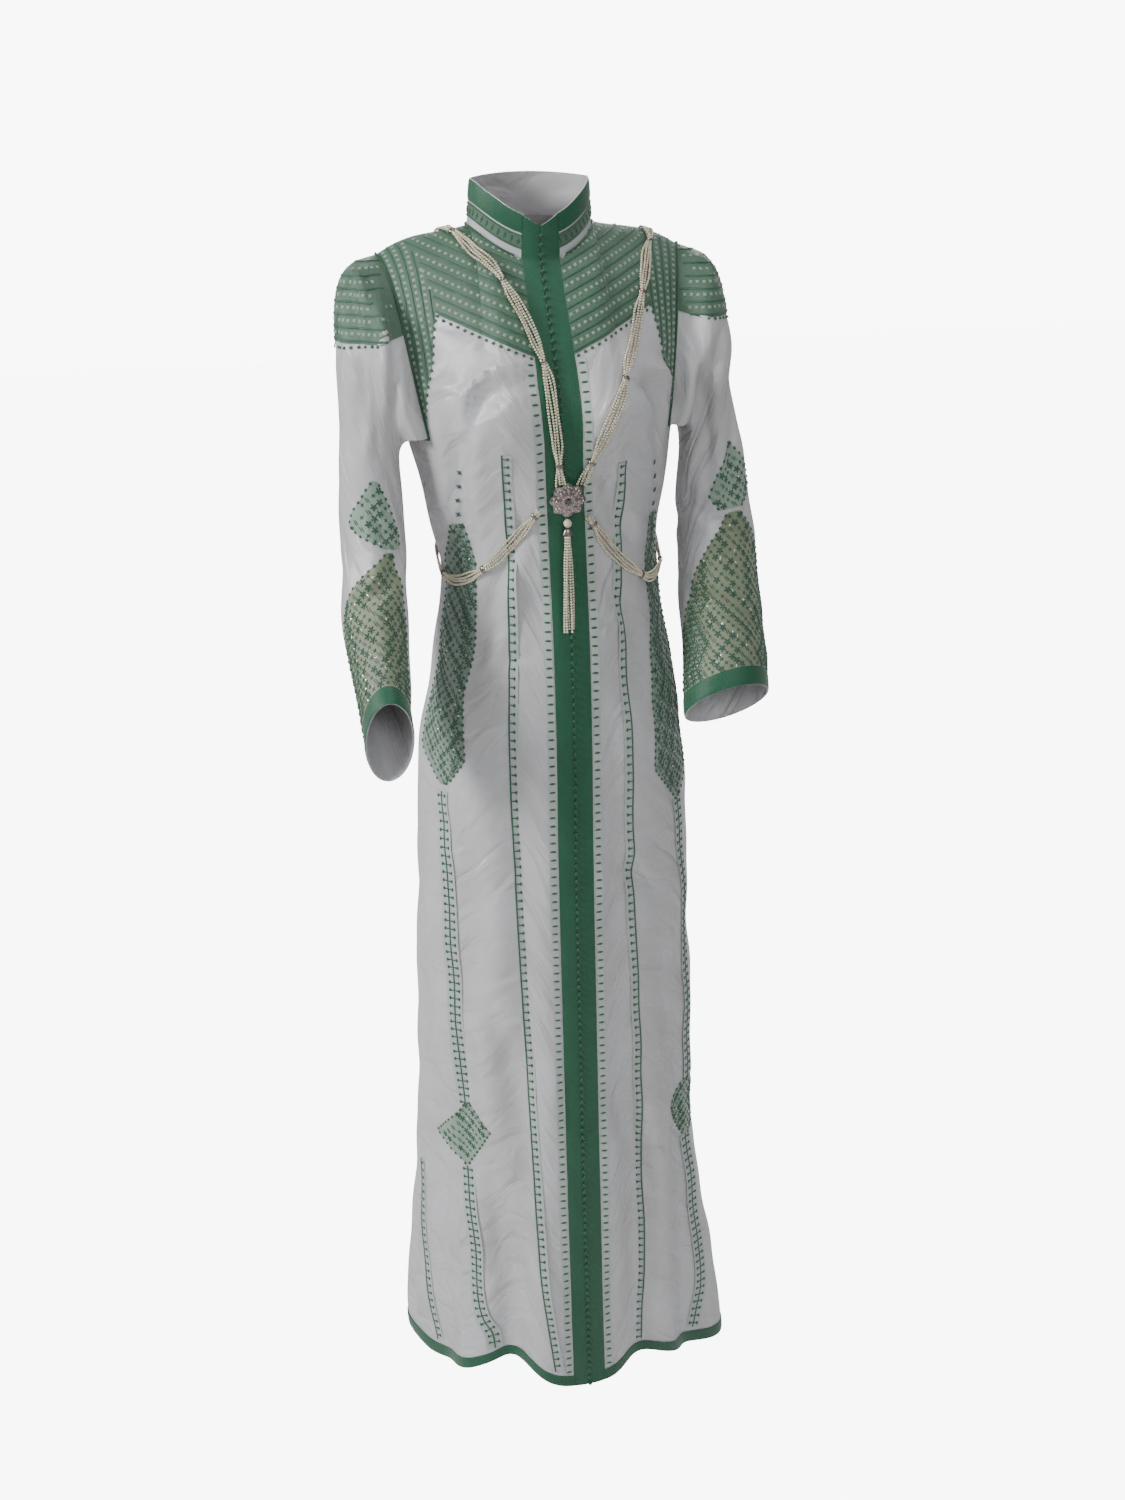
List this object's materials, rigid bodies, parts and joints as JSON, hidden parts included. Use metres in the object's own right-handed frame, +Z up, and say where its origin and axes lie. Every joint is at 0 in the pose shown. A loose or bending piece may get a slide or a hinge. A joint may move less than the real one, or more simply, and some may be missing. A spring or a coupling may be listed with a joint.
{
  "type": "moroccan kaftan with pearl harness belt",
  "caption": "Floor-length hollow worn satin kaftan with stand collar, green braid placket and bands, long open sleeves, and a pearl strand harness belt with a brooch and tassel",
  "frame": {"origin": "midway between the two side neck points, at the level where the shoulder seams start, where the wearer's shoulders hold the kaftan", "axes": "+Z up, the front faces -Y, +X is the wearer's left"},
  "size_m": [0.4809, 0.3303, 1.4861],
  "materials": {
    "satin": "pale silver-white satin",
    "green_braid": "woven green silk braid and cord",
    "pearls": "cream imitation pearls on thread",
    "rhinestones": "silver setting with faceted stones"
  },
  "bodies": {
    "root": {"front_right": "satin", "front_left": "satin", "side_right": "satin", "side_left": "satin", "back": "satin", "sleeve_right": "satin", "sleeve_left": "satin", "collar": "satin", "placket_right": "green_braid", "placket_left": "green_braid", "knot_row": "green_braid", "collar_band": "green_braid", "cuff_band_right": "green_braid", "cuff_band_left": "green_braid", "hem_band": "green_braid", "armhole_piping_right": "green_braid", "armhole_piping_left": "green_braid", "neck_piping": "green_braid", "strap_right": "pearls", "strap_left": "pearls", "belt_right": "pearls", "belt_left": "pearls", "tassel_bead": "pearls", "tassel": "pearls", "brooch": "rhinestones", "back_clasp": "rhinestones"}
  },
  "joints": []
}
